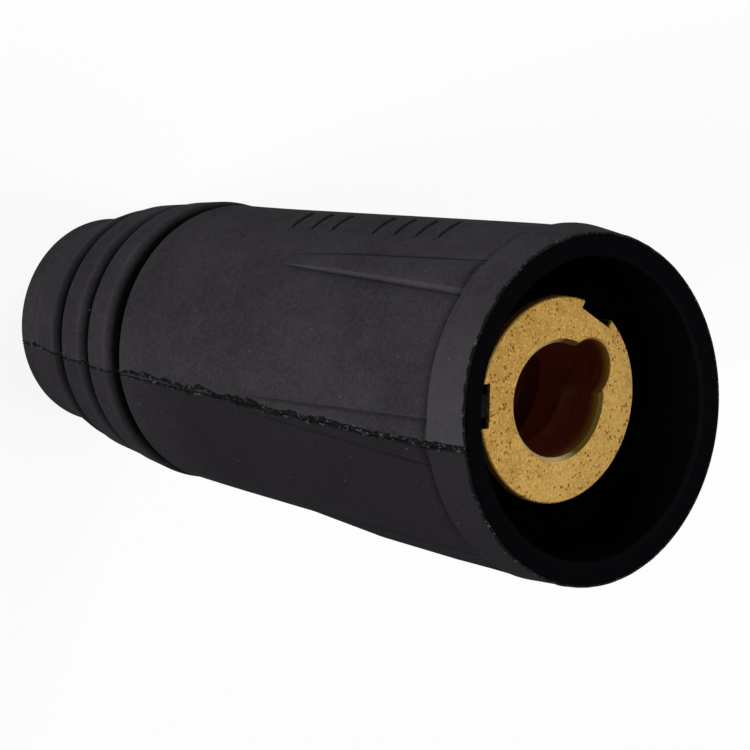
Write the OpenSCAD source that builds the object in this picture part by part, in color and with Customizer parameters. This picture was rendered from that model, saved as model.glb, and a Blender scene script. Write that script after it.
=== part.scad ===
// Cable socket: the female half of a welding cable coupling for a 13 mm plug pin.
// A turned brass socket sits in a moulded rubber sleeve with a ribbed cable tail.
// Z runs along the axis. The cable end stands on z = 0 and the mouth looks up.
// Seen from the mouth, angles turn anticlockwise from +X. The mould seam lies in the XZ plane.

/* [Sleeve outside] */
// Overall length, from the cable end to the rim of the mouth
total_len = 99.4; // [96:0.2:110]
// Length of the ribbed tail, from the cable end to the body
tail_len = 30.3; // [29:0.1:32]
// Diameter of the lip at the cable end
tail_end_d = 28.8; // [27:0.2:30]
// Length of the lip at the cable end
tail_lip_len = 3.1; // [2.5:0.1:3.6]
// Number of ribs on the tail
rib_count = 3; // [1:1:3]
// Distance from one rib to the next
rib_pitch = 7.8; // [7.2:0.1:8]
// Length of a rib along the axis, with its rounded shoulder
rib_len = 5.8; // [5:0.1:6.2]
// Diameter over the rib nearest the cable end
first_rib_d = 33.6; // [32:0.1:34.6]
// Diameter over the rib nearest the body
last_rib_d = 37.4; // [36:0.1:38]
// How much a rib widens from its rear edge to its crest, on the radius
rib_rise = 0.6; // [0.2:0.1:1]
// Radius of the rounded front shoulder of a rib
rib_round = 0.9; // [0.5:0.1:1.4]
// Depth of the grooves between the ribs
groove_depth = 2.5; // [1.5:0.1:3]
// Body diameter where it meets the tail
body_rear_d = 36.7; // [35.5:0.1:38]
// Body diameter where it meets the collar
body_front_d = 40.3; // [39:0.1:41]
// Length of the collar round the mouth
collar_len = 5.8; // [4:0.1:8]
// Diameter of the collar at its step
collar_d = 41.3; // [40.6:0.1:43]
// How much the collar narrows from its step to the rim, on the radius
collar_draft = 0.4; // [0:0.05:0.6]
// Radius of the broken edge round the rim
rim_edge = 0.3; // [0.1:0.1:0.6]

/* [Ridges behind the collar] */
// Number of ridges round the body
ridge_count = 6; // [3:1:8]
// Length of a ridge, back from the collar
ridge_len = 37; // [28:0.5:42]
// Length of the ramp at the rear of a ridge
ridge_ramp = 15; // [8:0.5:20]
// Width of a ridge where it meets the collar
ridge_w = 5.4; // [4:0.1:7]
// Width of a ridge at its rear tip
ridge_tip_w = 1.8; // [1:0.1:3]
// Width of the sloping flank on each side of a ridge
ridge_flank = 1.3; // [0.6:0.1:1.6]
// Height of a ridge over the body at the top of its ramp
ridge_rise = 0.7; // [0.4:0.05:1]

/* [Sleeve inside] */
// Inner diameter of the mouth at the rim
mouth_d = 34.8; // [33.5:0.1:36]
// Inner diameter of the mouth at its floor
floor_d = 33; // [31:0.1:33.4]
// Depth of the mouth, from the rim to its rubber floor
mouth_depth = 7.2; // [6.6:0.1:9]
// Diameter of the cable passage through the tail
cable_hole_d = 18; // [15:0.1:20]
// Flare at the cable end of the passage
cable_flare = 0.8; // [0.3:0.1:1.5]
// Width of each rubber key, which stops the socket from turning
key_w = 3; // [2:0.1:4]
// Length of each rubber key along the axis
key_len = 7.6; // [5:0.1:8]
// How far the rubber keys start below the brass face
key_setback = 0.9; // [0.5:0.1:1.2]
// Angle of the first vee nick in the floor of the mouth
first_nick_angle = 80; // [60:1:120]
// Angle of the second vee nick in the floor of the mouth
second_nick_angle = 256; // [240:1:300]
// Width of each vee nick, beside the brass
nick_w = 3.4; // [2:0.1:4.5]
// Reach of each vee nick away from the brass
nick_reach = 1.8; // [1:0.1:2.5]
// Depth of each vee nick
nick_depth = 1.6; // [0.8:0.1:2.5]

/* [Brass socket] */
// Outer diameter of the socket
socket_d = 24; // [23:0.1:25]
// Length of the socket
socket_len = 60; // [58:0.5:62]
// Distance from the rim of the sleeve to the brass face
face_recess = 6.2; // [5:0.1:6.4]
// Diameter of the bore for the plug pin
plug_bore_d = 13.4; // [12.8:0.1:14]
// Depth of the bore for the plug pin
plug_bore_len = 32; // [28:0.5:33]
// Diameter of the cutter that makes the keyway beside the bore
keyway_d = 7; // [6:0.1:7.6]
// Distance from the axis to the deepest point of the keyway
keyway_reach = 9.4; // [9.2:0.1:9.8]
// Depth of the keyway from the brass face
keyway_len = 13; // [12:0.1:14]
// Angle of the keyway
keyway_angle = 205; // [180:1:230]
// Distance from the axis to the wall of the cam track
track_reach = 9.1; // [8.4:0.1:9.1]
// Width of the cam track along the axis
track_w = 6.8; // [6:0.1:7.4]
// Turn of the cam track from the keyway
track_turn = 190; // [120:5:220]
// How much deeper the cam track runs from its start to its end
track_fall = 3.4; // [1:0.1:4]
// Broken edge round the bore
bore_chamfer = 0.45; // [0.2:0.05:0.8]
// Broken edge round the outside of the socket
edge_chamfer = 0.15; // [0.1:0.05:0.6]
// Angle of the first notch in the front edge
first_notch_angle = 350; // [330:1:359]
// Angle of the second notch in the front edge
second_notch_angle = 230; // [180:1:240]
// Width of each notch
notch_w = 5.1; // [4.6:0.1:6]
// Depth of each notch from the outside of the socket
notch_depth = 1.3; // [1:0.1:1.6]
// Length of each notch back from the brass face
notch_len = 9; // [8.8:0.1:12]
// Distance from the brass face to the retaining groove
retain_at = 14; // [13:0.5:24]
// Width of the retaining groove
retain_w = 4; // [3:0.1:5]
// Depth of the retaining groove
retain_depth = 1; // [0.5:0.1:1.2]

/* [Cable clamp] */
// Diameter of the bore for the cable strands
cable_bore_d = 15.5; // [15:0.1:16]
// Depth of the bore for the cable strands
cable_bore_len = 24; // [23:0.5:24.5]
// Broken edge round the bore for the cable strands
cable_bore_chamfer = 1; // [0.3:0.1:1.5]
// Diameter of the clamp screws
screw_d = 10; // [8:0.5:10]
// Length of the clamp screws
screw_len = 5; // [4.6:0.1:5.4]
// How far the clamp screws sit below the outside of the socket
screw_sink = 0.2; // [0.1:0.05:0.4]
// Distance from the rear end of the socket to the first clamp screw
screw_from_end = 6.6; // [6:0.1:7]
// Distance between the two clamp screws
screw_spacing = 11; // [10.6:0.1:12]
// Width across the flats of the hexagon socket in a clamp screw
screw_hex = 5; // [4:0.5:5]
// Depth of the hexagon socket in a clamp screw
screw_hex_depth = 3; // [2.5:0.1:3.5]
// Angle of the clamp screws round the axis
screw_angle = 90; // [0:5:355]
// Length of the copper ferrule round the strands
ferrule_len = 22; // [20:0.5:22.5]
// Wall of the copper ferrule
ferrule_wall = 0.5; // [0.4:0.05:0.8]
// Slit along the copper ferrule
ferrule_slit = 1.6; // [1:0.1:2.5]

/* [Fits] */
// Gap between the brass socket and the rubber round it, on the radius
sleeve_gap = 0.05; // [0.02:0.01:0.1]
// Gap between a rubber key and the floor of its notch
key_gap = 0.35; // [0.1:0.05:0.5]
// Gap between a clamp screw and its tapped hole, on the radius
thread_gap = 0.05; // [0.02:0.01:0.1]
// Gap between the copper ferrule and what it rests against
ferrule_gap = 0.05; // [0.02:0.01:0.1]

/* [Hidden] */
$fn = 96;

// Overshoot of a cutting solid past the face that it cuts
over = 1;
// How far a ridge is rooted in the body and in the collar
root = 1.5;
// Length of the slanted step between the body and the collar
collar_step = 0.35;
// Number of straight pieces in a rounded shoulder
round_steps = 5;
// Broken edge of the lip at the cable end
lip_edge = 0.5;
// Depth and length of the slope behind the first rib
first_slope_depth = 2.2;
first_slope_len = 2.6;
// Length of the slanted front face of a rib
rib_face_len = 0.5;
// Smallest length of a step along the axis
min_step = 0.2;
// How far a ridge runs into the collar
ridge_in_collar = 1.2;
// How far the crest and the foot of a ridge are sunk where they meet the turned surface
ridge_sunk = 0.05;
// Smallest half width of the crest of a ridge
min_crest = 0.2;
// Broken edge and cup point of a clamp screw
screw_edge = 0.7;
screw_cup_r = 2.2;
screw_cup_depth = 0.8;

collar_z = total_len - collar_len;
floor_z = total_len - mouth_depth;
face_z = total_len - face_recess;
rear_z = face_z - socket_len;
socket_r = socket_d / 2;
sleeve_bore_r = socket_r + sleeve_gap;
retain_z = face_z - retain_at - retain_w;
rim_r = collar_d / 2 - collar_draft;
notch_angles = [first_notch_angle, second_notch_angle];
// Distances from the axis to the outer end and to the point of a clamp screw
screw_outer = sqrt(pow(socket_r, 2) - pow(screw_d / 2, 2)) - screw_sink;
screw_point = screw_outer - screw_len;

// Radius over rib i, counted from the cable end
function rib_r(i) = rib_count < 2 ? first_rib_d / 2
    : (first_rib_d + (last_rib_d - first_rib_d) * i / (rib_count - 1)) / 2;
// Height of the rear edge of rib i
function rib_z(i) = tail_len - (rib_count - i) * rib_pitch;
// Radius of the body surface at height z
function body_r(z) = (body_rear_d + (body_front_d - body_rear_d) * (z - tail_len) / (collar_z - tail_len)) / 2;
// Rounded corner: points that turn from the outside of a rib into its front face
function shoulder(r, z, radius) = [for (k = [0:round_steps])
    let (a = 90 * k / round_steps)
    [r - radius + radius * cos(a), z - radius + radius * sin(a)]];
// Outline of rib i, from its rear edge to the foot of the groove in front of it
function rib_points(i) = concat(
    i == 0 ? [[rib_r(0) - first_slope_depth, max(rib_z(0) - first_slope_len, tail_lip_len + min_step)]]
        : [[rib_r(i) - rib_rise, rib_z(i)]],
    shoulder(rib_r(i), rib_z(i) + rib_len, rib_round),
    [[rib_r(i) - groove_depth, rib_z(i) + rib_len + rib_face_len],
     [rib_r(i) - groove_depth, rib_z(i + 1)]]);

// Outside of the sleeve as one turned outline, from the cable end to the rim
module sleeve_outline() {
    lip_r = tail_end_d / 2;
    polygon(concat(
        [[0, 0], [lip_r - lip_edge, 0], [lip_r, lip_edge], [lip_r, tail_lip_len - lip_edge],
         [lip_r - lip_edge, tail_lip_len]],
        [for (i = [0:rib_count - 1]) each rib_points(i)],
        [[body_rear_d / 2, tail_len],
         [body_r(collar_z), collar_z],
         [collar_d / 2, collar_z + collar_step],
         [rim_r, total_len - rim_edge],
         [rim_r - rim_edge, total_len],
         [0, total_len]]));
}

// One ridge behind the collar: a low wedge with sloping flanks that widens towards the mouth.
// Each station is [height, half width at the body, half width of the crest, crest radius].
module ridge() {
    z0 = collar_z - ridge_len;
    z1 = z0 + ridge_ramp;
    z2 = collar_z + ridge_in_collar;
    w0 = ridge_tip_w / 2;
    w2 = ridge_w / 2;
    w1 = w0 + (w2 - w0) * ridge_ramp / ridge_len;
    stations = [
        [z0, w0, min_crest, body_r(z0) - ridge_sunk],
        [z1, w1, max(w1 - ridge_flank, min_crest), body_r(z1) + ridge_rise],
        [z2, w2, max(w2 - ridge_flank, min_crest), collar_d / 2 - ridge_sunk]];
    sections = [for (s = stations)
        let (foot = sqrt(pow(min(body_r(s[0]), collar_d / 2), 2) - s[1] * s[1]) - ridge_sunk)
        [[foot - root, -s[1], s[0]], [foot, -s[1], s[0]], [s[3], -s[2], s[0]],
         [s[3], s[2], s[0]], [foot, s[1], s[0]], [foot - root, s[1], s[0]]]];
    count = 6;
    last = len(stations) - 1;
    polyhedron(
        points = [for (s = sections) each s],
        faces = concat(
            [[for (k = [0:count - 1]) k]],
            [for (j = [0:last - 1]) for (k = [0:count - 1])
                let (a = j * count + k, b = j * count + (k + 1) % count)
                [b, a, a + count, b + count]],
            [[for (k = [count - 1:-1:0]) last * count + k]]));
}

// Round cutter of radius r with a 45 degree flare that breaks the edge of its mouth
module flared_cutter(r, depth, flare) {
    rotate_extrude()
        polygon([[0, -depth], [r, -depth], [r, -flare], [r + flare + over, over], [0, over]]);
}

// Mouth of the sleeve, which opens slightly from its floor to the rim
module mouth() {
    draft = (mouth_d - floor_d) / (2 * mouth_depth);
    rotate_extrude()
        polygon([[0, floor_z], [floor_d / 2, floor_z],
                 [mouth_d / 2 + draft * over, total_len + over], [0, total_len + over]]);
}

// Vee nick in the floor of the mouth, beside the brass
module nick() {
    r0 = sleeve_bore_r - over;
    translate([0, 0, floor_z - nick_depth])
        linear_extrude(nick_depth + over)
            polygon([[r0, -nick_w / 2], [sleeve_bore_r, -nick_w / 2],
                     [sleeve_bore_r + nick_reach, 0],
                     [sleeve_bore_r, nick_w / 2], [r0, nick_w / 2]]);
}

// Moulded rubber sleeve: tail, body, ridges, collar, mouth and the inner keys and bead
module rubber_sleeve() {
    color("#2e2c2f") {
        difference() {
            union() {
                rotate_extrude() sleeve_outline();
                for (i = [0:ridge_count - 1]) rotate(360 * i / ridge_count) ridge();
            }
            mouth();
            // seat of the brass socket
            translate([0, 0, rear_z - sleeve_gap])
                cylinder(h = floor_z - rear_z + sleeve_gap + over, r = sleeve_bore_r);
            // cable passage
            mirror([0, 0, 1]) flared_cutter(cable_hole_d / 2, rear_z + over, cable_flare);
            for (a = [first_nick_angle, second_nick_angle]) rotate(a) nick();
        }
        retaining_bead();
        for (a = notch_angles) rotate(a) rubber_key();
    }
}

// Bead inside the sleeve that snaps into the groove of the brass socket
module retaining_bead() {
    h = retain_w - 2 * sleeve_gap;
    translate([0, 0, retain_z + sleeve_gap])
        difference() {
            cylinder(h = h, r = sleeve_bore_r + root);
            translate([0, 0, -over])
                cylinder(h = h + 2 * over, r = socket_r - retain_depth + sleeve_gap);
        }
}

// Rubber key that stands in a notch of the brass socket
module rubber_key() {
    inner = socket_r - notch_depth + key_gap;
    translate([inner, -key_w / 2, face_z - key_setback - key_len])
        cube([sleeve_bore_r + root - inner, key_w, key_len]);
}

// Turned brass socket: plug bore with keyway and cam track, cable bore and tapped holes
module brass_socket() {
    color("#be964b")
        translate([0, 0, rear_z])
            difference() {
                rotate_extrude() socket_outline();
                plug_bore();
                cable_bore();
                for (a = notch_angles) rotate(a) notch();
                for (k = [0, 1]) screw_axis(k)
                    translate([0, 0, -over]) cylinder(h = socket_r + 2 * over, d = screw_d);
            }
}

// Outside of the brass socket with its broken edges and its retaining groove
module socket_outline() {
    c = edge_chamfer;
    g0 = retain_z - rear_z;
    g1 = g0 + retain_w;
    gr = socket_r - retain_depth;
    polygon([[0, 0], [socket_r - c, 0], [socket_r, c],
             [socket_r, g0], [gr, g0], [gr, g1], [socket_r, g1],
             [socket_r, socket_len - c], [socket_r - c, socket_len], [0, socket_len]]);
}

// Bore for the plug pin, with the keyway that lets the pin's lug in
module plug_bore() {
    translate([0, 0, socket_len]) {
        flared_cutter(plug_bore_d / 2, plug_bore_len, bore_chamfer);
        rotate(keyway_angle) translate([keyway_reach - keyway_d / 2, 0, 0])
            flared_cutter(keyway_d / 2, keyway_len, bore_chamfer / 2);
    }
    cam_track();
}

// Cam track: a slanted groove that runs clockwise from the keyway and deeper into the bore.
// The lug of the plug turns in it and is drawn home.
module cam_track() {
    r0 = plug_bore_d / 2 - over;
    tilt = atan(track_fall / (plug_bore_d / 2 + track_reach));
    slab = 2 * track_reach + 2 * over;
    start_z = socket_len - keyway_len + track_w / 2;
    middle_z = start_z - track_fall / 2;
    reach_z = track_w + track_fall;
    rotate(keyway_angle)
        intersection() {
            translate([0, 0, middle_z - reach_z])
                rotate(-track_turn)
                    rotate_extrude(angle = track_turn)
                        translate([r0, 0]) square([track_reach - r0, 2 * reach_z]);
            translate([0, 0, middle_z])
                rotate([0, -tilt, 0])
                    cube([slab, slab, track_w * cos(tilt)], center = true);
        }
}

// Bore for the cable strands
module cable_bore() {
    mirror([0, 0, 1]) flared_cutter(cable_bore_d / 2, cable_bore_len, cable_bore_chamfer);
}

// Notch milled into the front edge of the brass socket
module notch() {
    translate([socket_r - notch_depth, -notch_w / 2, socket_len - notch_len])
        cube([notch_depth + over, notch_w, notch_len + over]);
}

// Frame of clamp screw k: its axis runs out from the middle of the socket
module screw_axis(k) {
    rotate(screw_angle)
        translate([0, 0, screw_from_end + k * screw_spacing])
            rotate([0, 90, 0]) children();
}

// Clamp screw k: a headless screw with a hexagon socket and a cup point
module clamp_screw(k) {
    r = screw_d / 2 - thread_gap;
    color("#55565a")
        translate([0, 0, rear_z])
            screw_axis(k)
                translate([0, 0, screw_point])
                    difference() {
                        rotate_extrude()
                            polygon([[0, screw_cup_depth], [screw_cup_r, 0], [r - screw_edge, 0],
                                     [r, screw_edge], [r, screw_len - screw_edge],
                                     [r - screw_edge, screw_len], [0, screw_len]]);
                        translate([0, 0, screw_len - screw_hex_depth])
                            cylinder(h = screw_hex_depth + over, d = screw_hex / cos(30), $fn = 6);
                    }
}

module clamp_screw_front() { clamp_screw(1); }

module clamp_screw_rear() { clamp_screw(0); }

// Slit copper ferrule: lies against the wall of the cable bore, under the clamp screws
module copper_ferrule() {
    far = cable_bore_d / 2 - ferrule_gap;
    near = screw_point - ferrule_gap;
    r = (far + near) / 2;
    end_gap = cable_bore_len - ferrule_len;
    color("#b87048")
        rotate(screw_angle)
            translate([near - r, 0, rear_z + end_gap])
                difference() {
                    cylinder(h = ferrule_len - ferrule_gap, r = r);
                    translate([0, 0, -over])
                        cylinder(h = ferrule_len + 2 * over, r = r - ferrule_wall);
                    translate([-r - over, -ferrule_slit / 2, -over])
                        cube([r, ferrule_slit, ferrule_len + 2 * over]);
                }
}

rubber_sleeve();
brass_socket();
copper_ferrule();
clamp_screw_front();
clamp_screw_rear();
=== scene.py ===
import math

import bpy
import numpy as np
from mathutils import Matrix, Vector


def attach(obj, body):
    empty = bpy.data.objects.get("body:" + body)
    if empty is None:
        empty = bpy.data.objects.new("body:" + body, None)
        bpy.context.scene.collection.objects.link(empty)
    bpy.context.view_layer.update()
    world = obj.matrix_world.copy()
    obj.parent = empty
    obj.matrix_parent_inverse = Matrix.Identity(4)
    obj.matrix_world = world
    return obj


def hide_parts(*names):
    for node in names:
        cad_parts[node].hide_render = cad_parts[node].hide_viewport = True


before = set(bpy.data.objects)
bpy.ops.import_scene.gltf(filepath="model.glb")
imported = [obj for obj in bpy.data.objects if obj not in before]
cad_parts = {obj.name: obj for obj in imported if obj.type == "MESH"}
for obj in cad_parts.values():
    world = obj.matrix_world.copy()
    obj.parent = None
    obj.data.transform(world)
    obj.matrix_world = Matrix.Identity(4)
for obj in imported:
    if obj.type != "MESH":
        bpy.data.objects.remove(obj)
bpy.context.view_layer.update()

MM = 0.001


# Picture: a loose socket seen from the side of its mouth, close enough for clear perspective.
# The camera stands 36 cm off with a long lens, rolled so that the socket lies across the frame,
# and its sensor is as wide as the picture.
camera = bpy.data.objects.new("picture_camera", bpy.data.cameras.new("picture_camera"))
camera.data.sensor_width = 36
camera.data.lens = 124.18
camera.data.clip_start = 10 * MM
camera_place = np.array([194.32, -73.48, 306.21]) * MM
camera_axes = np.array(
    [
        [-0.764953, 0.105997, 0.635305],
        [-0.227461, -0.967267, -0.112496],
        [0.602586, -0.230561, 0.764024],
    ]
)
camera.matrix_world = Matrix(np.c_[camera_axes.T, camera_place].tolist() + [[0, 0, 0, 1]])
bpy.context.scene.collection.objects.link(camera)
bpy.context.scene.camera = camera
bpy.context.scene.view_settings.view_transform = "Standard"


# Rubber sleeve: black vulcanised rubber, moulded in two halves round a steel core. It grips the
# brass and the cable. The outside copies the fine blasting of the mould and is dusty, and the core
# leaves the mouth smoother; the mouth is set near black, partly as painted shade in the recess.
# The soft mouth has set a little to one side and oval.
def srgb(colour):
    """Linear RGBA of an sRGB hex colour."""
    parts = [int(colour[k : k + 2], 16) / 255 for k in (1, 3, 5)]
    return [c / 12.92 if c <= 0.04045 else ((c + 0.055) / 1.055) ** 2.4 for c in parts] + [1]


def per_mm(size):
    """Scale of a pattern in object coordinates whose features are this many millimetres apart."""
    return 1 / (size * MM)


def new_material(name):
    """An empty node material."""
    made = bpy.data.materials.new(name)
    made.use_nodes = True
    made.node_tree.nodes.clear()
    return made


def add_node(owner, kind, inputs=None, **settings):
    """Adds one node: settings are its own, and inputs are values, or sockets that feed it."""
    made = owner.node_tree.nodes.new("ShaderNode" + kind)
    for name, value in settings.items():
        setattr(made, name, value)
    for socket, value in (inputs or {}).items():
        if isinstance(value, bpy.types.NodeSocket):
            owner.node_tree.links.new(value, made.inputs[socket])
        else:
            made.inputs[socket].default_value = value
    return made


def smoothstep(low, high, value):
    """0 below low, 1 above high, and a soft step between them."""
    t = np.clip((value - low) / (high - low), 0, 1)
    return t * t * (3 - 2 * t)


def rounded(corners, steps=4):
    """Outline through corners of (r, z, radius), each turned with an arc of that radius."""
    points = []
    for k, (r, z, radius) in enumerate(corners):
        here = np.array([r, z], float)
        before = np.array(corners[k - 1][:2], float) - here
        after = np.array(corners[(k + 1) % len(corners)][:2], float) - here
        before, after = before / np.linalg.norm(before), after / np.linalg.norm(after)
        turn = math.acos(np.clip(before @ after, -1, 1))
        if radius == 0 or turn > math.pi - 0.02:
            points.append(here)
            continue
        reach = radius / math.tan(turn / 2)
        middle = (before + after) / np.linalg.norm(before + after)
        centre = here + middle * radius / math.sin(turn / 2)
        a, b = here + before * reach - centre, here + after * reach - centre
        span = math.acos(np.clip(a @ b / radius**2, -1, 1))
        for t in np.linspace(0, 1, steps + 1):
            arm = (a * math.sin((1 - t) * span) + b * math.sin(t * span)) / math.sin(span)
            points.append(centre + arm)
    return np.array(points)


def filled_in(points, longest):
    """The closed outline with extra points, so that none of its pieces is longer than this."""
    made = []
    for here, after in zip(points, np.roll(points, -1, axis=0)):
        count = max(1, math.ceil(np.linalg.norm(after - here) / longest))
        made += [here + (after - here) * t / count for t in range(count)]
    return np.array(made)


def grid_mesh(name, points, joined_along=False, joined_across=True):
    """Mesh of quads over rows of points in millimetres, joined round, or closed by end faces."""
    rows, count = points.shape[:2]
    faces = []
    for i in range(rows if joined_along else rows - 1):
        for j in range(count if joined_across else count - 1):
            here, there = i * count, ((i + 1) % rows) * count
            beside = (j + 1) % count
            faces.append((here + j, here + beside, there + beside, there + j))
    if joined_across and not joined_along:
        faces.append(tuple(range(count - 1, -1, -1)))
        faces.append(tuple(range((rows - 1) * count, rows * count)))
    mesh = bpy.data.meshes.new(name)
    mesh.from_pydata((points.reshape(-1, 3) * MM).tolist(), [], faces)
    mesh.polygons.foreach_set("use_smooth", [True] * len(faces))
    mesh.update()
    made = bpy.data.objects.new(name, mesh)
    bpy.context.scene.collection.objects.link(made)
    return made


length = 99.4
body_foot, body_rear_r, body_front_r = 30.3, 18.35, 20.15
collar_foot, collar_r, rim_r = 93.6, 20.65, 20.14
mouth_r, mouth_floor, mouth_floor_r = 17.4, 92.2, 16.5
seat_r, seat_foot, passage_r = 12.05, 33.15, 9.0
outside = [(9.8, 0, 0.2), (14.4, 0, 0.5), (14.4, 3.1, 0.4), (13.9, 3.5, 0.3), (14.6, 4.3, 0.4)]
for rib in range(3):
    crest_r, foot = 16.8 + 0.95 * rib, 6.9 + 7.8 * rib
    if rib:
        outside.append((crest_r - 0.6, foot, 0.3))
    outside.append((crest_r, foot + 5.8, 1.4))
    outside.append((crest_r - 2.5, foot + 6.3, 0.25))
    outside.append((crest_r - 2.5, foot + 7.8, 0.25))
outside += [
    (body_rear_r, body_foot, 0.3),
    (body_front_r - 0.02, collar_foot - 0.75, 0),
    (body_front_r, collar_foot - 0.3, 0),
    (body_front_r, collar_foot, 0.05),
    (collar_r, collar_foot + 0.4, 0.3),
    (rim_r, length, 0.2),
]
inside = [
    (mouth_r, length, 0.3),
    (mouth_floor_r, mouth_floor, 0.6),
    (13.9, mouth_floor, 0),
    (13.4, mouth_floor, 0),
    (12.9, mouth_floor, 0),
    (12.5, mouth_floor, 0),
    (seat_r, mouth_floor, 0.12),
    (seat_r, mouth_floor - 1.6, 0),
    (seat_r, 79.15, 0.1),
    (11.05, 79.15, 0.1),
    (11.05, 75.25, 0.1),
    (seat_r, 75.25, 0.1),
    (seat_r, seat_foot, 0.3),
    (passage_r, seat_foot, 0.3),
    (passage_r, 0.8, 0.2),
]
profile = filled_in(rounded(outside + inside), 0.95)
rim_row = int(np.argmax(profile[:, 1] >= length - 1e-6))

# Six round backed ridges run back from the collar as low wedges.
# The columns of the mesh follow their edges, so that these stay crisp, with a crease at the foot.
# Two ridges lie on the mould's parting line, where the sleeve is cracked and slightly peaked.
ridge_len, ridge_ramp, ridge_rise, crease_depth, peak = 37.0, 15.0, 0.7, 0.22, 0.16
ridge_rear = collar_foot - ridge_len
crack_depth = 0.3
across = [0, 0.09, 0.2, 0.35, 0.5, 0.62, 0.73, 0.83, 0.92, 1.0, 1.06, 1.14]
across = [-v for v in across[:0:-1]] + across
panel_steps = 20
ridge_angles = [math.radians(a) for a in (0, 57, 123, 180, 237, 303)]


def body_radius(z):
    """Radius of the body without its ridges."""
    share = (z - body_foot) / (collar_foot - body_foot)
    return body_rear_r + (body_front_r - body_rear_r) * share


def ridge_rises(z, share):
    """Height of a ridge over the body, at a share of its half width from its middle."""
    height = min(
        ridge_rise * np.clip((z - ridge_rear) / ridge_ramp, 0, 1),
        collar_r - 0.03 - body_radius(min(z, collar_foot)),
    )
    crease = crease_depth * smoothstep(0, 6, z - ridge_rear) * max(0, 1 - abs(abs(share) - 1) / 0.1)
    return height * max(0.0, 1 - abs(share) ** 2.6) - crease


def seam_share(angle):
    """How near the mould's parting line an angle is: 1 on it, and 0 from a third of a radian off."""
    return max(0.0, 1 - abs(math.remainder(angle, math.pi)) / 0.34) ** 2


def sleeve_row(r, z, is_outside):
    """Radii and angles of one row of the sleeve's mesh."""
    half = (0.9 + 1.8 * np.clip((z - ridge_rear) / ridge_len, 0, 1)) / max(body_radius(z), 18)
    radii, angles = [], []
    for ridge, start in enumerate(ridge_angles):
        for v in across:
            rise = 0.0
            if is_outside and body_foot < z < collar_foot + 0.5:
                rise = ridge_rises(z, v)
                if z > collar_foot - 0.1:
                    rise = max(0.0, body_radius(collar_foot) + rise - r)
                if collar_foot - 0.75 < z < collar_foot + 0.05:
                    rise -= crease_depth * (1 - abs(z - collar_foot + 0.3) / 0.45) * (abs(v) > 0.9)
            if is_outside and ridge % 3 == 0:
                rise -= crack_depth * max(0.0, 1 - abs(v) / 0.2)
            if is_outside:
                rise += peak * seam_share(start + v * half) * (30 < z < 96)
            radii.append(r + rise)
            angles.append(start + v * half)
        beyond = ridge_angles[ridge + 1] if ridge < 5 else 2 * math.pi
        first, last = start + across[-1] * half, beyond - across[-1] * half
        for angle in np.linspace(first, last, panel_steps + 1)[1:-1]:
            rise = peak * seam_share(angle) if is_outside and 30 < z < 96 else 0.0
            if is_outside and collar_foot - 0.75 < z < collar_foot + 0.05:
                rise -= crease_depth * (1 - abs(z - collar_foot + 0.3) / 0.45)
            radii.append(r + rise)
            angles.append(angle)
    return radii, angles


radii, angles = [], []
for k, (r, z) in enumerate(profile):
    row = sleeve_row(r, z, k < rim_row)
    radii.append(row[0])
    angles.append(row[1])
radii, angles = np.array(radii), np.array(angles)
heights = np.repeat(profile[:, 1:], radii.shape[1], axis=1)

# Two vee nicks in the floor of the mouth, beside the brass, let the core be turned out.
nick_foot = mouth_floor - 1.6
for nick in (80, 256):
    aside = np.abs((angles - math.radians(nick) + math.pi) % (2 * math.pi) - math.pi) * radii
    room = 1.7 * (1 - (radii - seat_r) / 1.8)
    in_nick = (radii < 13.9) & (heights > nick_foot) & (aside < room)
    in_nick[:rim_row] = False
    heights[in_nick] = nick_foot + 0.1 * (heights[in_nick] - nick_foot)


def in_place(r, angle, z):
    """Points of the sleeve in millimetres, with the set of its soft mouth and of its tail."""
    aside = 0.226 * np.cos(angle) + 0.411 * np.sin(angle)
    oval = -0.278 * np.cos(2 * angle) - 0.389 * np.sin(2 * angle)
    bulge = 0.2 * np.clip(np.cos(angle - math.radians(155)), 0, 1) ** 2
    set_by = (aside + oval + bulge) * np.clip((z - 85) / (length - 85), 0, 1) ** 2
    outer = smoothstep(12.5, 15, r)
    bent = (1 - smoothstep(12, 42, z)) * outer
    r = r + set_by * outer
    return np.stack([r * np.cos(angle) - 0.08 * bent, r * np.sin(angle) - 0.34 * bent, z], -1)


sleeve = grid_mesh("ribbed_sleeve", in_place(radii, angles, heights), joined_along=True)

# Painted shade: the grooves of the tail, the creases and the crack are darkened towards black
# in the colour.
painted_crease_shade = np.zeros(radii.shape)
for rib in range(3):
    crest_r, foot = 16.8 + 0.95 * rib, 6.9 + 7.8 * rib
    in_groove = (heights > foot + 4.5) & (heights < foot + 7.85)
    painted_crease_shade += in_groove * np.clip((crest_r - 0.1 - radii) / 0.75, 0, 1) ** 0.8
shares = np.array((across + [9.0] * (panel_steps - 1)) * 6)
on_ridge = smoothstep(ridge_rear, ridge_rear + 8, heights) * (heights < collar_foot)
painted_crease_shade += 0.38 * on_ridge * np.clip(1 - np.abs(np.abs(shares) - 1) / 0.12, 0, 1)
painted_crease_shade += 0.55 * np.clip(1 - np.abs(heights - collar_foot + 0.3) / 0.8, 0, 1)
on_seam = np.repeat([1, 0, 0, 1, 0, 0], len(shares) // 6)
painted_crease_shade += 0.9 * on_seam * (np.abs(shares) < 0.15)
painted_crease_shade[rim_row:] = 0
layer = sleeve.data.attributes.new("painted_crease_shade", "FLOAT", "POINT")
layer.data.foreach_set("value", np.clip(painted_crease_shade, 0, 1).ravel())
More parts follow.
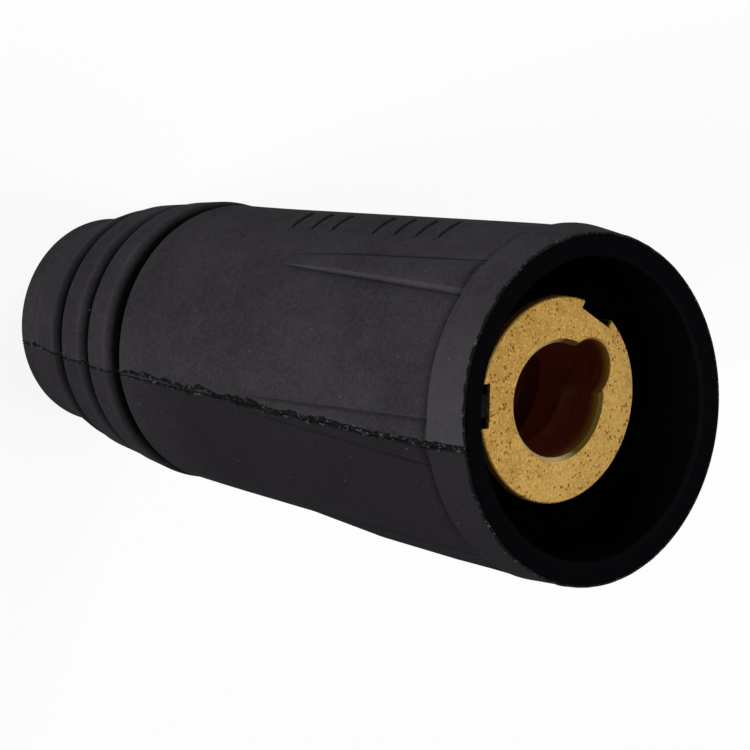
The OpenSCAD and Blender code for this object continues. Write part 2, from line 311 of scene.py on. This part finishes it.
# Painted highlight: pale lines on the ridge edges and pale bands on the rib shoulders and end bead.
painted_highlight_share = np.isclose(shares, 0.83) + 0.6 * np.isclose(shares, 0.92) + np.isclose(shares, -1.06)
painted_highlight_share = 0.8 * on_ridge * np.clip(painted_highlight_share, 0, 1)
for rib in range(3):
    painted_highlight_share += 0.55 * np.clip(1 - np.abs(heights - 11.5 - 7.8 * rib) / 0.35, 0, 1)
painted_highlight_share += 0.5 * np.clip(1 - np.abs(heights - 4.0) / 1.2, 0, 1)
painted_highlight_share[rim_row:] = 0
layer = sleeve.data.attributes.new("painted_highlight", "FLOAT", "POINT")
layer.data.foreach_set("value", painted_highlight_share.ravel())

# Vulcanised rubber against a blasted mould: matt near black, clouded, with a fine grain and dust.
# The half towards +Y is painted darker as painted shade, less so towards the tail.
rubber = new_material("blasted_vulcanised_rubber")
place = add_node(rubber, "TexCoord").outputs["Object"]
cloud = add_node(rubber, "TexNoise", {"Vector": place, "Scale": per_mm(12), "Detail": 2})
blotch = add_node(rubber, "TexNoise", {"Vector": place, "Scale": per_mm(1.6), "Detail": 3})
grain = add_node(rubber, "TexNoise", {"Vector": place, "Scale": per_mm(0.42), "Detail": 3})
mottle = add_node(
    rubber,
    "Math",
    {0: cloud.outputs[0], 1: 0.8, 2: grain.outputs[0]},
    operation="MULTIPLY_ADD",
)
mottle = add_node(
    rubber,
    "Math",
    {0: blotch.outputs[0], 1: 0.45, 2: mottle.outputs[0]},
    operation="MULTIPLY_ADD",
)
mottle = add_node(rubber, "MapRange", {0: mottle.outputs[0], 1: 0.88, 2: 1.37})
skin = add_node(
    rubber,
    "Mix",
    {0: mottle.outputs[0], 6: srgb("#282629"), 7: srgb("#343235")},
    data_type="RGBA",
)
spot = add_node(rubber, "SeparateXYZ", {0: place})
# Painted light: the front band of the collar is lighter, least on the side towards -Y.
collar_light_side = add_node(rubber, "MapRange", {0: spot.outputs[1], 1: -16 * MM, 2: -8 * MM, 3: 0.06, 4: 0.3})
collar_painted_light = add_node(rubber, "MapRange", {0: spot.outputs[2], 1: 93.7 * MM, 2: 94.1 * MM})
collar_painted_light = add_node(
    rubber,
    "Math",
    {0: collar_painted_light.outputs[0], 1: collar_light_side.outputs[0]},
    operation="MULTIPLY",
)
skin = add_node(
    rubber,
    "Mix",
    {0: collar_painted_light.outputs[0], 6: skin.outputs[2], 7: srgb("#4a484b")},
    data_type="RGBA",
)
# Painted highlight on the ridge edges, the rib shoulders and the end bead of the tail.
highlight_mix = add_node(rubber, "Attribute", attribute_name="painted_highlight")
highlight_mix = add_node(rubber, "MapRange", {0: highlight_mix.outputs["Fac"], 4: 0.25})
skin = add_node(
    rubber,
    "Mix",
    {0: highlight_mix.outputs[0], 6: skin.outputs[2], 7: srgb("#5a585c")},
    data_type="RGBA",
)
# Painted shade: the half towards +Y is darkened, fading towards the tail.
half = add_node(rubber, "MapRange", {0: spot.outputs[1], 1: -0.1 * MM, 2: 0.1 * MM, 4: 0.75})
half_shade_reach = add_node(rubber, "MapRange", {0: spot.outputs[2], 1: 24 * MM, 2: 46 * MM, 3: 0.4})
half = add_node(
    rubber,
    "Math",
    {0: half.outputs[0], 1: half_shade_reach.outputs[0]},
    operation="MULTIPLY",
)
skin = add_node(
    rubber,
    "Mix",
    {0: half.outputs[0], 6: skin.outputs[2], 7: srgb("#19171a")},
    data_type="RGBA",
)
# Painted shade in the grooves, the creases and the crack, read from the mesh.
crease_shade_share = add_node(rubber, "Attribute", attribute_name="painted_crease_shade")
skin = add_node(
    rubber,
    "Mix",
    {0: crease_shade_share.outputs["Fac"], 6: skin.outputs[2], 7: srgb("#050405")},
    data_type="RGBA",
)
dust = add_node(rubber, "TexVoronoi", {"Vector": place, "Scale": per_mm(1.3)})
fleck = add_node(rubber, "MapRange", {0: dust.outputs["Distance"], 1: 0.1, 2: 0.04})
lucky = add_node(rubber, "SeparateColor", {0: dust.outputs["Color"]})
lucky = add_node(rubber, "MapRange", {0: lucky.outputs[0], 1: 0.55, 2: 1.0, 4: 0.6})
fleck = add_node(
    rubber,
    "Math",
    {0: fleck.outputs[0], 1: lucky.outputs[0]},
    operation="MULTIPLY",
)
skin = add_node(
    rubber,
    "Mix",
    {0: fleck.outputs[0], 6: skin.outputs[2], 7: srgb("#6d6b70")},
    data_type="RGBA",
)
pebble = add_node(
    rubber,
    "Bump",
    {"Height": grain.outputs[0], "Strength": 0.6, "Distance": 0.06 * MM},
)
wave = add_node(
    rubber,
    "Bump",
    {
        "Height": blotch.outputs[0],
        "Strength": 0.25,
        "Distance": 0.15 * MM,
        "Normal": pebble.outputs[0],
    },
)
surface = add_node(
    rubber,
    "BsdfPrincipled",
    {
        "Base Color": skin.outputs[2],
        "Roughness": 1.0,
        "Specular IOR Level": 0.01,
        "Normal": wave.outputs[0],
    },
)
add_node(rubber, "OutputMaterial", {"Surface": surface.outputs[0]})

# Rubber against a polished core: smoother, with soft swirls and hardly any sheen. It is set near
# black, partly as painted shade down in the mouth.
core_rubber = new_material("core_moulded_rubber")
place = add_node(core_rubber, "TexCoord").outputs["Object"]
blotch = add_node(core_rubber, "TexNoise", {"Vector": place, "Scale": per_mm(2.5), "Detail": 4})
skin = add_node(
    core_rubber,
    "Mix",
    {0: blotch.outputs[0], 6: srgb("#020203"), 7: srgb("#080709")},
    data_type="RGBA",
)
# Painted light: the rim face at the top of the mouth is paler than the core rubber below it.
edge = add_node(core_rubber, "SeparateXYZ", {0: place})
edge = add_node(core_rubber, "MapRange", {0: edge.outputs[2], 1: 98.6 * MM, 2: 99.2 * MM})
skin = add_node(
    core_rubber,
    "Mix",
    {0: edge.outputs[0], 6: skin.outputs[2], 7: srgb("#0d0c0f")},
    data_type="RGBA",
)
wave = add_node(
    core_rubber,
    "Bump",
    {"Height": blotch.outputs[0], "Strength": 0.3, "Distance": 0.1 * MM},
)
surface = add_node(
    core_rubber,
    "BsdfPrincipled",
    {
        "Base Color": skin.outputs[2],
        "Roughness": 0.9,
        "Specular IOR Level": 0.0,
        "Normal": wave.outputs[0],
    },
)
add_node(core_rubber, "OutputMaterial", {"Surface": surface.outputs[0]})
sleeve.data.materials.append(rubber)
sleeve.data.materials.append(core_rubber)
across_count = radii.shape[1]
for face in sleeve.data.polygons:
    face.material_index = int(rim_row <= face.index // across_count < len(profile) - 1)
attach(sleeve, "root")
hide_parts("rubber_sleeve")


# Rubber keys: two small blocks that stand up from the wall of the seat, moulded in one with the
# sleeve. They fill part of the notches in the brass, so that the socket can't turn.
def soft_block(name, low, high, edge):
    """Block between two corners in millimetres, with broken edges."""
    mesh = bpy.data.meshes.new(name)
    corners = [
        (x, y, z) for z in (low[2], high[2]) for y in (low[1], high[1]) for x in (low[0], high[0])
    ]
    mesh.from_pydata(
        (np.array(corners) * MM).tolist(),
        [],
        [(0, 2, 3, 1), (4, 5, 7, 6), (0, 1, 5, 4), (2, 6, 7, 3), (0, 4, 6, 2), (1, 3, 7, 5)],
    )
    made = bpy.data.objects.new(name, mesh)
    bpy.context.scene.collection.objects.link(made)
    bevel = made.modifiers.new("broken_edges", "BEVEL")
    bevel.width, bevel.segments = edge * MM, 3
    return made


key_places = {"front_key": (350, 92.9), "upper_key": (230, 92.3)}
for name, (angle, top) in key_places.items():
    key = soft_block(name, (10.8, -1.35, 84.7), (12.3, 1.35, top), 0.25)
    key.data.transform(Matrix.Rotation(math.radians(angle), 4, "Z"))
    # Painted light and shade: the front key gets the paler skin, the upper key the near-black core.
    key.data.materials.append(rubber if name == "front_key" else core_rubber)
    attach(key, "root")


# Mould flash: where the two halves of the mould meet, rubber is squeezed out and torn off. It
# leaves a ragged double lip along both sides of the sleeve, low on the ribs and high on the body.
def smooth_noise(random, count, width):
    """Noise of about -1 to 1 whose bumps are this many samples wide."""
    kernel = np.hanning(width + 2)
    raw = random.standard_normal(count + 4 * width)
    raw = np.convolve(raw, kernel / np.linalg.norm(kernel), "same")
    return raw[2 * width : 2 * width + count] * 0.6


# Torn rubber: the same compound with no mould skin, so that its crumbs catch the light.
torn_rubber = new_material("torn_rubber")
place = add_node(torn_rubber, "TexCoord").outputs["Object"]
crumbs = add_node(torn_rubber, "TexNoise", {"Vector": place, "Scale": per_mm(0.5), "Detail": 3})
light = add_node(torn_rubber, "MapRange", {0: crumbs.outputs[0], 1: 0.56, 2: 0.8})
skin = add_node(
    torn_rubber,
    "Mix",
    {0: light.outputs[0], 6: srgb("#0c0a0c"), 7: srgb("#5c5a5e")},
    data_type="RGBA",
)
tears = add_node(
    torn_rubber,
    "Bump",
    {"Height": crumbs.outputs[0], "Strength": 0.8, "Distance": 0.12 * MM},
)
surface = add_node(
    torn_rubber,
    "BsdfPrincipled",
    {
        "Base Color": skin.outputs[2],
        "Roughness": 0.8,
        "Specular IOR Level": 0.05,
        "Normal": tears.outputs[0],
    },
)
add_node(torn_rubber, "OutputMaterial", {"Surface": surface.outputs[0]})


def flash_strip(name, angle, seed):
    """A ragged lip along the sleeve at one angle, from the cable end to the rim."""
    random = np.random.default_rng(seed)
    column = int(np.argmin(np.abs(angles[0] - angle)))
    line = np.stack([radii[:rim_row, column] + crack_depth, heights[:rim_row, column]], -1)
    line = line[(line[:, 0] > 13.5)]
    steps = np.r_[0, np.cumsum(np.linalg.norm(np.diff(line, axis=0), axis=1))]
    at = np.arange(0, steps[-1], 0.2)
    r, z = np.interp(at, steps, line[:, 0]), np.interp(at, steps, line[:, 1])
    on_body = smoothstep(28, 33, z)
    calm = 1 - 0.45 * smoothstep(70, 80, z)
    lip_height = (0.08 + 0.2 * on_body * calm) * (0.8 + 0.45 * smooth_noise(random, len(at), 5))
    half_width = (0.26 + 0.28 * on_body * calm) * (1 + 0.3 * smooth_noise(random, len(at), 7))
    middle = angle + np.radians(-1.5 * (1 - smoothstep(30, 60, z)) * on_body) * (angle < 1)
    middle = middle + 0.18 * on_body * smooth_noise(random, len(at), 31) / r
    shares = np.linspace(-1, 1, 17)
    points = []
    for k in range(len(at)):
        rough = random.normal(0, 0.16, len(shares))
        upper = np.exp(-(((shares + 0.45) / 0.33) ** 2)) * (1 + rough)
        lower = 0.6 * np.exp(-(((shares - 0.5) / 0.3) ** 2)) * (1 + rough)
        crack = 1.5 * np.exp(-(((shares - 0.08) / 0.16) ** 2))
        over = lip_height[k] * (upper + lower - crack)
        over = np.where(np.abs(shares) > 0.95, -0.08, over)
        ring = [(r[k] + h, middle[k] + s * half_width[k] / r[k]) for h, s in zip(over, shares)]
        ring += [(r[k] - 0.5, middle[k] + s * half_width[k] / r[k]) for s in (0.8, 0.0, -0.8)]
        points.append([(a, b, z[k]) for a, b in ring])
    points = np.array(points)
    strip = grid_mesh(name, in_place(points[..., 0], points[..., 1], points[..., 2]))
    strip.data.materials.append(torn_rubber)
    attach(strip, "root")


flash_strip("front_flash", 0.0, 11)
flash_strip("back_flash", math.pi, 12)

# The ring of flash where the outer mould met the core, round the outer edge of the rim.
random = np.random.default_rng(21)
rim_steps = 900
turn = np.linspace(0, 2 * math.pi, rim_steps, endpoint=False)
ragged = np.abs(smooth_noise(random, rim_steps, 7)) + 0.5 * np.abs(random.normal(0, 0.3, rim_steps))
untrimmed = 0.5 + 0.5 * np.cos(turn - math.radians(-25))
stands = 0.02 + (0.015 + 0.1 * untrimmed) * ragged
leans = rim_r - 0.1 + 0.06 * untrimmed * smooth_noise(random, rim_steps, 15)
ring = [(-0.13, -0.25), (-0.13, 0.0), (-0.05, 1.0), (0.04, 0.8), (0.12, 0.0), (0.12, -0.25)]
ring_points = np.array(
    [
        [(leans[k] + dr, turn[k], length + (h * stands[k] if h > 0 else h)) for dr, h in ring]
        for k in range(rim_steps)
    ]
)
rim_flash = grid_mesh(
    "rim_flash",
    in_place(ring_points[..., 0], ring_points[..., 1], ring_points[..., 2]),
    joined_along=True,
)
rim_flash.data.materials.append(torn_rubber)
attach(rim_flash, "root")


# Raised strokes: the mould is cut with a few plain slanted bars on one side, where a maker may
# put marks of their own. They are part of the sleeve and as low as its ridges.
stroke_angle, stroke_half_turn = math.radians(-83), math.radians(8.5)
stroke_height, stroke_half_width = 0.28, 0.42
stroke_places = [51.5, 55.5, 59.5, 67.5, 71.5, 75.5, 79.5]
stroke_ring = [(-1.25, -0.4), (-1.0, 0.3), (-0.6, 1.0), (0.6, 1.0), (1.0, 0.3), (1.25, -0.4)]
for number, stroke_z in enumerate(stroke_places, 1):
    rows = []
    for t in np.linspace(-1, 1, 15):
        end = 1 - 0.6 * smoothstep(0.86, 1.0, abs(t))
        rows.append(
            [
                (
                    body_radius(stroke_z + 1.1 * t + s * stroke_half_width)
                    + (h * stroke_height * end if h > 0 else h),
                    stroke_angle + t * stroke_half_turn,
                    stroke_z + 1.1 * t + s * stroke_half_width * end,
                )
                for s, h in stroke_ring
            ]
        )
    rows = np.array(rows)
    stroke = grid_mesh(f"raised_stroke_{number}", in_place(rows[..., 0], rows[..., 1], rows[..., 2]))
    # Painted shade along the foot of each stroke.
    layer = stroke.data.attributes.new("painted_crease_shade", "FLOAT", "POINT")
    layer.data.foreach_set("value", [1.0, 0.7, 0.0, 0.0, 0.7, 1.0] * len(rows))
    stroke.data.materials.append(rubber)
    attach(stroke, "root")


# Brass socket: bar brass, turned, bored and notched. Its face is dull with small pits, and its
# walls are darkened by air and by cutting oil, most of all down in the bore. The notch walls and the
# up-facing ledges in the bore carry painted shade, and one side of the brass is painted darker.
def round_shaded(piece):
    """Shades a CAD node's turned faces round and keeps its edges sharp."""
    piece.data.polygons.foreach_set("use_smooth", [True] * len(piece.data.polygons))
    piece.data.set_sharp_from_angle(angle=math.radians(25))
    piece.data.update()


def finish(piece, material):
    """Gives a CAD node one finish."""
    piece.data.materials.clear()
    piece.data.materials.append(material)


# Turned brass, dulled: a grainy yellow face full of dark specks, and red-brown walls below it.
brass = new_material("dull_turned_brass")
place = add_node(brass, "TexCoord").outputs["Object"]
tone = add_node(brass, "TexNoise", {"Vector": place, "Scale": per_mm(2.5), "Detail": 5})
grit = add_node(brass, "TexNoise", {"Vector": place, "Scale": per_mm(0.3), "Detail": 3})
mottle = add_node(
    brass,
    "Math",
    {0: tone.outputs[0], 1: 0.35, 2: grit.outputs[0]},
    operation="MULTIPLY_ADD",
)
# Painted shade and light: the brass is darker towards +X and -Y, and lighter towards -X and +Y.
side_shade = add_node(
    brass,
    "VectorMath",
    {0: place, 1: (-0.8, 0.6, 0.0)},
    operation="DOT_PRODUCT",
)
side_shade = add_node(
    brass,
    "MapRange",
    {0: side_shade.outputs["Value"], 1: -12 * MM, 2: 12 * MM, 3: -0.13, 4: 0.13},
)
mottle = add_node(
    brass,
    "Math",
    {0: mottle.outputs[0], 1: side_shade.outputs[0]},
    operation="ADD",
)
mottle = add_node(brass, "MapRange", {0: mottle.outputs[0], 1: 0.5, 2: 0.85})
metal = add_node(
    brass,
    "Mix",
    {0: mottle.outputs[0], 6: srgb("#a17d3c"), 7: srgb("#c3a05b")},
    data_type="RGBA",
)
ragged = add_node(brass, "TexNoise", {"Vector": place, "Scale": per_mm(0.35), "Detail": 2})
ragged = add_node(
    brass,
    "VectorMath",
    {0: ragged.outputs["Color"], 1: (0.5 * MM, 0.5 * MM, 0.5 * MM), 2: place},
    operation="MULTIPLY_ADD",
)
specks = add_node(
    brass,
    "TexVoronoi",
    {"Vector": ragged.outputs[0], "Scale": per_mm(0.38)},
)
chance = add_node(brass, "SeparateColor", {0: specks.outputs["Color"]})
patchy = add_node(brass, "TexNoise", {"Vector": place, "Scale": per_mm(4), "Detail": 2})
chance = add_node(
    brass,
    "Math",
    {0: patchy.outputs[0], 1: 0.6, 2: chance.outputs[0]},
    operation="MULTIPLY_ADD",
)
reach = add_node(brass, "MapRange", {0: chance.outputs[0], 1: 0.93, 2: 1.25, 3: 0.0, 4: 0.55})
speck = add_node(
    brass,
    "Math",
    {0: reach.outputs[0], 1: specks.outputs["Distance"]},
    operation="SUBTRACT",
)
speck = add_node(brass, "MapRange", {0: speck.outputs[0], 1: 0.0, 2: 0.12, 4: 0.75})
metal = add_node(
    brass,
    "Mix",
    {0: speck.outputs[0], 6: metal.outputs[2], 7: srgb("#5c3d17")},
    data_type="RGBA",
)
spot = add_node(brass, "SeparateXYZ", {0: place})
low = add_node(brass, "MapRange", {0: spot.outputs[2], 1: 92.76 * MM, 2: 92.66 * MM})
across = add_node(
    brass,
    "Math",
    {0: spot.outputs[0], 1: spot.outputs[0]},
    operation="MULTIPLY",
)
across = add_node(
    brass,
    "Math",
    {0: spot.outputs[1], 1: spot.outputs[1], 2: across.outputs[0]},
    operation="MULTIPLY_ADD",
)
across = add_node(brass, "Math", {0: across.outputs[0]}, operation="SQRT")
in_bore = add_node(brass, "MapRange", {0: across.outputs[0], 1: 10.2 * MM, 2: 10 * MM})
deep = add_node(brass, "MapRange", {0: spot.outputs[2], 1: 92.5 * MM, 2: 91.4 * MM})
streaks = add_node(
    brass,
    "Mapping",
    {"Vector": place, "Scale": (0.25, 0.25, 1.0)},
    vector_type="POINT",
)
streaks = add_node(
    brass,
    "TexNoise",
    {"Vector": streaks.outputs[0], "Scale": per_mm(0.9), "Detail": 3},
)
oxide = add_node(
    brass,
    "Mix",
    {0: streaks.outputs[0], 6: srgb("#5e2416"), 7: srgb("#8a462e")},
    data_type="RGBA",
)
oxide = add_node(
    brass,
    "Mix",
    {0: deep.outputs[0], 6: srgb("#9c7a2e"), 7: oxide.outputs[2]},
    data_type="RGBA",
)
depth = add_node(brass, "MapRange", {0: spot.outputs[2], 1: 90 * MM, 2: 80 * MM})
oxide = add_node(
    brass,
    "Mix",
    {0: depth.outputs[0], 6: oxide.outputs[2], 7: srgb("#b05c3e")},
    data_type="RGBA",
)
bare = add_node(brass, "MapRange", {0: patchy.outputs[0], 1: 0.56, 2: 0.74, 4: 0.28})
oxide = add_node(
    brass,
    "Mix",
    {0: bare.outputs[0], 6: oxide.outputs[2], 7: srgb("#a8782f")},
    data_type="RGBA",
)
# Painted shade: faces down in the bore that face up towards the mouth are darkened towards black.
facing = add_node(brass, "TexCoord")
facing = add_node(brass, "SeparateXYZ", {0: facing.outputs["Normal"]})
ledge_shade = add_node(brass, "MapRange", {0: facing.outputs[2], 1: 0.2, 2: 0.6, 4: 0.9})
oxide = add_node(
    brass,
    "Mix",
    {0: ledge_shade.outputs[0], 6: oxide.outputs[2], 7: srgb("#1c0a05")},
    data_type="RGBA",
)
# Painted shade: the notch walls are near black, while the outer wall keeps a brass colour.
notch_shade = add_node(brass, "MapRange", {0: across.outputs[0], 1: 11.95 * MM, 2: 11.85 * MM})
wall = add_node(
    brass,
    "Mix",
    {0: notch_shade.outputs[0], 6: srgb("#a8782f"), 7: srgb("#1a100a")},
    data_type="RGBA",
)
wall = add_node(
    brass,
    "Mix",
    {0: in_bore.outputs[0], 6: wall.outputs[2], 7: oxide.outputs[2]},
    data_type="RGBA",
)
# Painted highlight and shade on the bore's chamfer: pale towards +X, dark towards -X.
chamfer_light_shade = add_node(brass, "MapRange", {0: spot.outputs[0], 1: 1 * MM, 2: -2 * MM})
chamfer_light_shade = add_node(
    brass,
    "Mix",
    {0: chamfer_light_shade.outputs[0], 6: srgb("#dcc68e"), 7: srgb("#40330f")},
    data_type="RGBA",
)
chamfer = add_node(brass, "MapRange", {0: across.outputs[0], 1: 7.16 * MM, 2: 7.1 * MM, 4: 0.9})
metal = add_node(
    brass,
    "Mix",
    {0: chamfer.outputs[0], 6: metal.outputs[2], 7: chamfer_light_shade.outputs[2]},
    data_type="RGBA",
)
metal = add_node(
    brass,
    "Mix",
    {0: low.outputs[0], 6: metal.outputs[2], 7: wall.outputs[2]},
    data_type="RGBA",
)
sunk = add_node(
    brass,
    "Math",
    {0: grit.outputs[0], 1: speck.outputs[0]},
    operation="SUBTRACT",
)
relief = add_node(
    brass,
    "Bump",
    {"Height": sunk.outputs[0], "Strength": 0.5, "Distance": 0.03 * MM},
)
surface = add_node(
    brass,
    "BsdfPrincipled",
    {
        "Base Color": metal.outputs[2],
        "Roughness": 0.62,
        "Metallic": 1,
        "Normal": relief.outputs[0],
    },
)
add_node(brass, "OutputMaterial", {"Surface": surface.outputs[0]})
finish(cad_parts["brass_socket"], brass)
round_shaded(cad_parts["brass_socket"])


# Copper ferrule: a slit tube of rolled copper sheet, which the strands are wrapped in before the
# clamp screws bite. It lies loose in the rear bore of the brass.
copper = new_material("rolled_copper")
place = add_node(copper, "TexCoord").outputs["Object"]
rolled = add_node(copper, "Mapping", {"Vector": place, "Scale": (1.0, 1.0, 0.12)})
lines = add_node(
    copper,
    "TexNoise",
    {"Vector": rolled.outputs[0], "Scale": per_mm(0.35), "Detail": 3},
)
film = add_node(copper, "TexNoise", {"Vector": place, "Scale": per_mm(4), "Detail": 3})
film = add_node(copper, "Math", {0: film.outputs[0], 1: lines.outputs[0]}, operation="ADD")
film = add_node(copper, "MapRange", {0: film.outputs[0], 1: 0.75, 2: 1.25})
metal = add_node(
    copper,
    "Mix",
    {0: film.outputs[0], 6: srgb("#8f5236"), 7: srgb("#c9805a")},
    data_type="RGBA",
)
relief = add_node(
    copper,
    "Bump",
    {"Height": lines.outputs[0], "Strength": 0.4, "Distance": 0.02 * MM},
)
surface = add_node(
    copper,
    "BsdfPrincipled",
    {
        "Base Color": metal.outputs[2],
        "Roughness": 0.35,
        "Metallic": 1,
        "Normal": relief.outputs[0],
    },
)
add_node(copper, "OutputMaterial", {"Surface": surface.outputs[0]})
finish(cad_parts["copper_ferrule"], copper)
round_shaded(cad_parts["copper_ferrule"])


# Clamp screws: two short steel set screws with hexagon sockets and cup points, hardened and
# blackened. They are screwed through the wall of the brass onto the ferrule.
steel = new_material("blackened_hardened_steel")
place = add_node(steel, "TexCoord").outputs["Object"]
film = add_node(steel, "TexNoise", {"Vector": place, "Scale": per_mm(1.2), "Detail": 4})
metal = add_node(
    steel,
    "Mix",
    {0: film.outputs[0], 6: srgb("#2a2a2c"), 7: srgb("#55565a")},
    data_type="RGBA",
)
relief = add_node(
    steel,
    "Bump",
    {"Height": film.outputs[0], "Strength": 0.3, "Distance": 0.02 * MM},
)
surface = add_node(
    steel,
    "BsdfPrincipled",
    {
        "Base Color": metal.outputs[2],
        "Roughness": 0.4,
        "Metallic": 1,
        "Normal": relief.outputs[0],
    },
)
add_node(steel, "OutputMaterial", {"Surface": surface.outputs[0]})
for screw in ("clamp_screw_front", "clamp_screw_rear"):
    finish(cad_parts[screw], steel)
    round_shaded(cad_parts[screw])


# Table and room: the loose socket stands on a plain pale floor, in a plain bright room, under
# soft lamps. What the camera sees of the floor is mostly its own white.
white_floor = new_material("pale_floor")
rays = add_node(white_floor, "LightPath")
seen = rays.outputs["Is Camera Ray"]
for other in ("Is Glossy Ray", "Is Transmission Ray"):
    either = add_node(white_floor, "Math", {0: seen, 1: rays.outputs[other]}, operation="MAXIMUM")
    seen = either.outputs[0]
share = add_node(white_floor, "Math", {0: seen, 1: 0.8}, operation="MULTIPLY")
matt = add_node(white_floor, "BsdfDiffuse", {"Color": srgb("#e6e6e6")})
glow = add_node(white_floor, "Emission", {"Color": (1, 1, 1, 1), "Strength": 1.08})
mixed = add_node(
    white_floor,
    "MixShader",
    {0: share.outputs[0], 1: matt.outputs[0], 2: glow.outputs[0]},
)
add_node(white_floor, "OutputMaterial", {"Surface": mixed.outputs[0]})
floor_mesh = bpy.data.meshes.new("floor")
reach = 2.5
corners = [(-reach, -reach, 0), (reach, -reach, 0), (reach, reach, 0), (-reach, reach, 0)]
floor_mesh.from_pydata(corners, [], [(0, 1, 2, 3)])
floor_mesh.materials.append(white_floor)
floor = bpy.data.objects.new("floor", floor_mesh)
bpy.context.scene.collection.objects.link(floor)

world = bpy.data.worlds.new("bright_room")
bpy.context.scene.world = world
world.use_nodes = True
world.node_tree.nodes.clear()
rays = add_node(world, "LightPath")
seen = rays.outputs["Is Camera Ray"]
for other in ("Is Glossy Ray", "Is Transmission Ray"):
    either = add_node(world, "Math", {0: seen, 1: rays.outputs[other]}, operation="MAXIMUM")
    seen = either.outputs[0]
room = add_node(world, "Background", {"Color": (1, 1, 1, 1), "Strength": 0.12})
white = add_node(world, "Background", {"Color": (1, 1, 1, 1), "Strength": 1})
mixed = add_node(world, "MixShader", {0: seen, 1: room.outputs[0], 2: white.outputs[0]})
add_node(world, "OutputWorld", {"Surface": mixed.outputs[0]})


def soft_lamp(name, way, distance, size, power):
    """A square soft lamp that faces the socket from the way that is given."""
    data = bpy.data.lights.new(name, "AREA")
    data.size = size
    data.energy = power
    made = bpy.data.objects.new(name, data)
    towards = Vector(way).normalized()
    made.location = Vector((0, 0, 50 * MM)) + towards * distance
    made.rotation_mode = "QUATERNION"
    made.rotation_quaternion = (-towards).to_track_quat("-Z", "Y")
    bpy.context.scene.collection.objects.link(made)


soft_lamp("key_lamp", (0.95, -0.04, 0.22), 0.9, 0.22, 7.8)
soft_lamp("top_lamp", (-0.66, -0.73, 0.16), 0.9, 0.22, 4.8)
soft_lamp("back_lamp", (-0.88, 0.45, 0.16), 0.9, 0.22, 4.0)
soft_lamp("mouth_lamp", (-0.20, 0.08, 0.97), 0.8, 0.3, 1.3)
